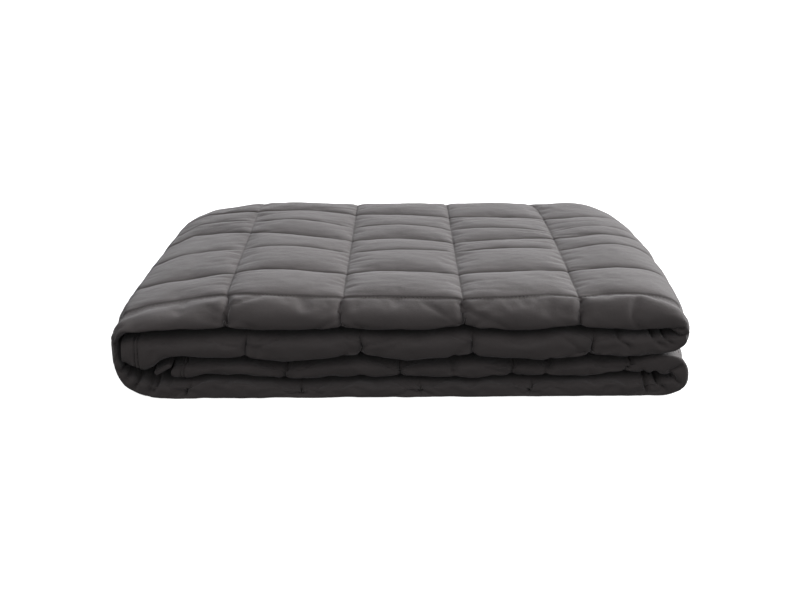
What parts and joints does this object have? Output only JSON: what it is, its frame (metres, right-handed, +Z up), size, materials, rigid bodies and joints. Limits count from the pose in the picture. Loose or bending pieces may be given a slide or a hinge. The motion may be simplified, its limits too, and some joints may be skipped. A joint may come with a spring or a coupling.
{
  "type": "weighted blanket",
  "caption": "Charcoal weighted blanket with square quilted pockets, folded into a low rectangular stack.",
  "frame": {"origin": "middle of the stack's footprint, on the surface that it lies on", "axes": "+X along the stack's long side, to the right seen from its folded front, whose wrapped turn is at the left; +Y from the front to the back; +Z up"},
  "size_m": [0.5158, 0.352, 0.0869],
  "materials": {
    "cover": "matt charcoal cotton"
  },
  "bodies": {
    "root": {"blanket": "cover"}
  },
  "joints": []
}
